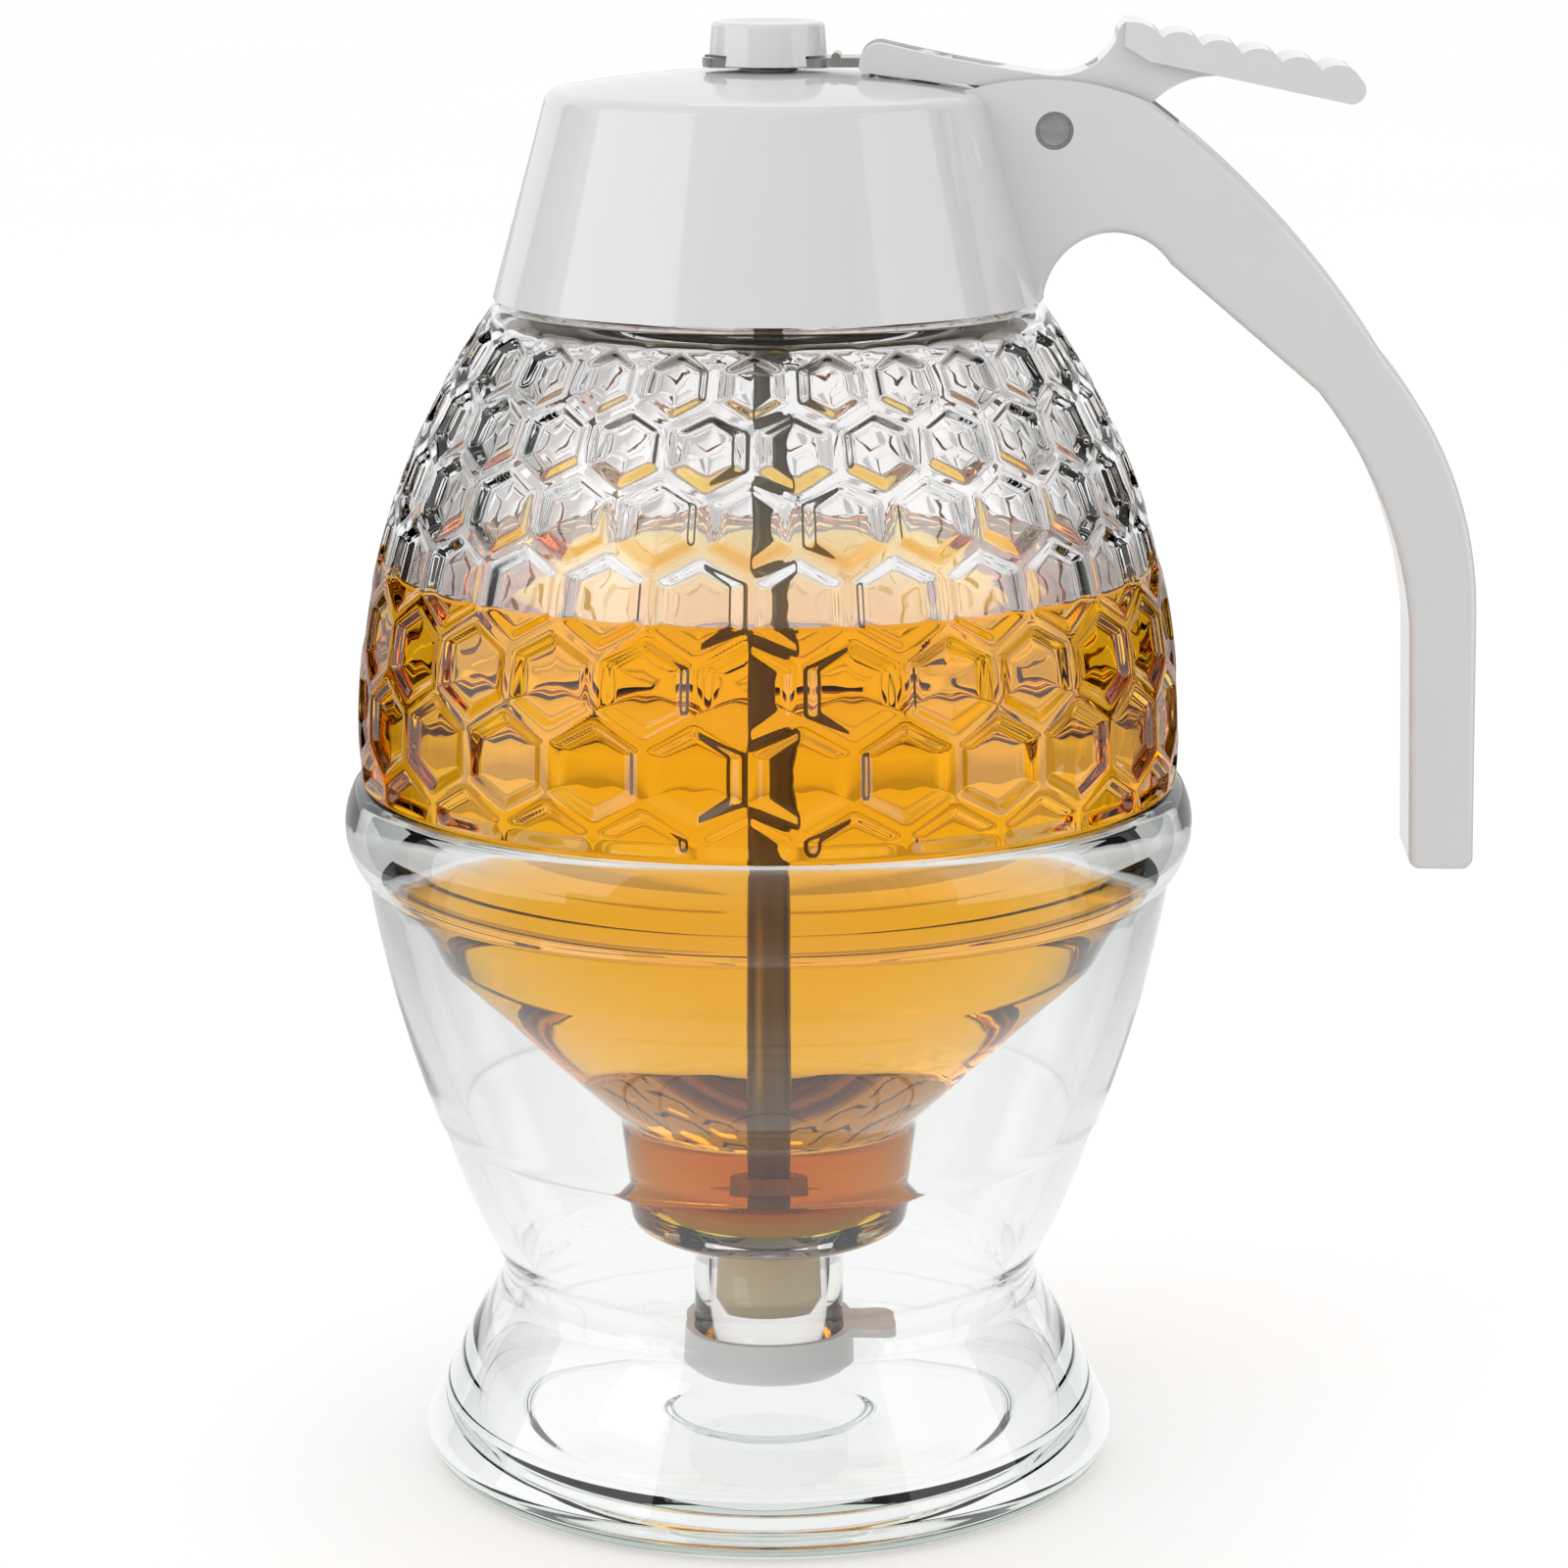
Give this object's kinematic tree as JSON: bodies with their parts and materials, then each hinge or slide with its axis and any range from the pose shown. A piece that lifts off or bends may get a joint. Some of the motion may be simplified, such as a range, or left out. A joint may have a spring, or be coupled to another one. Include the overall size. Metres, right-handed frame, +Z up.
{
  "type": "honey dispenser",
  "caption": "Clear glass honey jar with a honeycomb pattern in a clear glass stand, with a white lid, a handle and a thumb lever that lifts a valve rod.",
  "frame": {"origin": "centre of the stand's underside, on the table", "axes": "+Z up along the rod, +X towards the handle"},
  "size_m": [0.1352, 0.102, 0.1751],
  "materials": {
    "clear_glass": "clear soda-lime glass, moulded",
    "white_plastic": "white ABS, glossy",
    "cap_plastic": "white soft plastic",
    "bush_plastic": "acetal",
    "steel": "stainless, brushed",
    "spring_steel": "stainless spring wire",
    "seal_silicone": "white silicone",
    "cream_silicone": "cream silicone, translucent",
    "honey": null
  },
  "bodies": {
    "stand": {"glass_stand": "clear_glass"},
    "jar": {"glass_jar": "clear_glass"},
    "seal": {"lid_gasket": "seal_silicone"},
    "lid": {"lid_with_handle": "white_plastic", "pivot_pin": "steel", "pin_sleeves": "steel", "rod_bush": "bush_plastic", "rod_seal": "seal_silicone", "spring_washer": "steel", "return_spring": "spring_steel"},
    "lever": {"trigger_lever": "white_plastic", "lift_fork": "steel", "fork_rivets": "steel"},
    "plunger": {"rod_knob": "white_plastic", "valve_rod": "steel", "rod_washer": "steel", "rod_clip": "spring_steel", "valve_stopper": "cream_silicone", "stopper_washer": "steel", "stopper_nut": "steel"},
    "cap": {"spout_cap": "cap_plastic"}
  },
  "joints": [
    {"name": "jar_lift", "type": "slide", "parent": "stand", "child": "jar", "axis": [0, 0, 1], "range_m": [0, 0.085]},
    {"name": "lid_rise", "type": "slide", "parent": "jar", "child": "seal", "axis": [0, 0, 1], "range_m": [0, 0.0045]},
    {"name": "lid_turn", "type": "hinge", "parent": "seal", "child": "lid", "pos_m": [0, 0, 0.155], "axis": [0, 0, 1], "range_deg": [0, 360]},
    {"name": "trigger", "type": "hinge", "parent": "lid", "child": "lever", "pos_m": [0.0334, 0, 0.1627], "axis": [0, 1, 0], "range_deg": [0, 8], "stiffness_Nm_per_rad": 0.5, "springref_deg": -2.86},
    {"name": "rod_lift", "type": "slide", "parent": "lid", "child": "plunger", "axis": [0, 0, 1], "range_m": [0, 0.0056], "deforming": ["return_spring"]},
    {"name": "cap_pull", "type": "slide", "parent": "jar", "child": "cap", "axis": [0, 0, -1], "range_m": [0, 0.0046]}
  ],
  "couplings": [
    {"joint": "lid_rise", "follows": "lid_turn", "m_per_rad": 0.0007162},
    {"joint": "trigger", "follows": "rod_lift", "rad_per_m": 24.876}
  ]
}
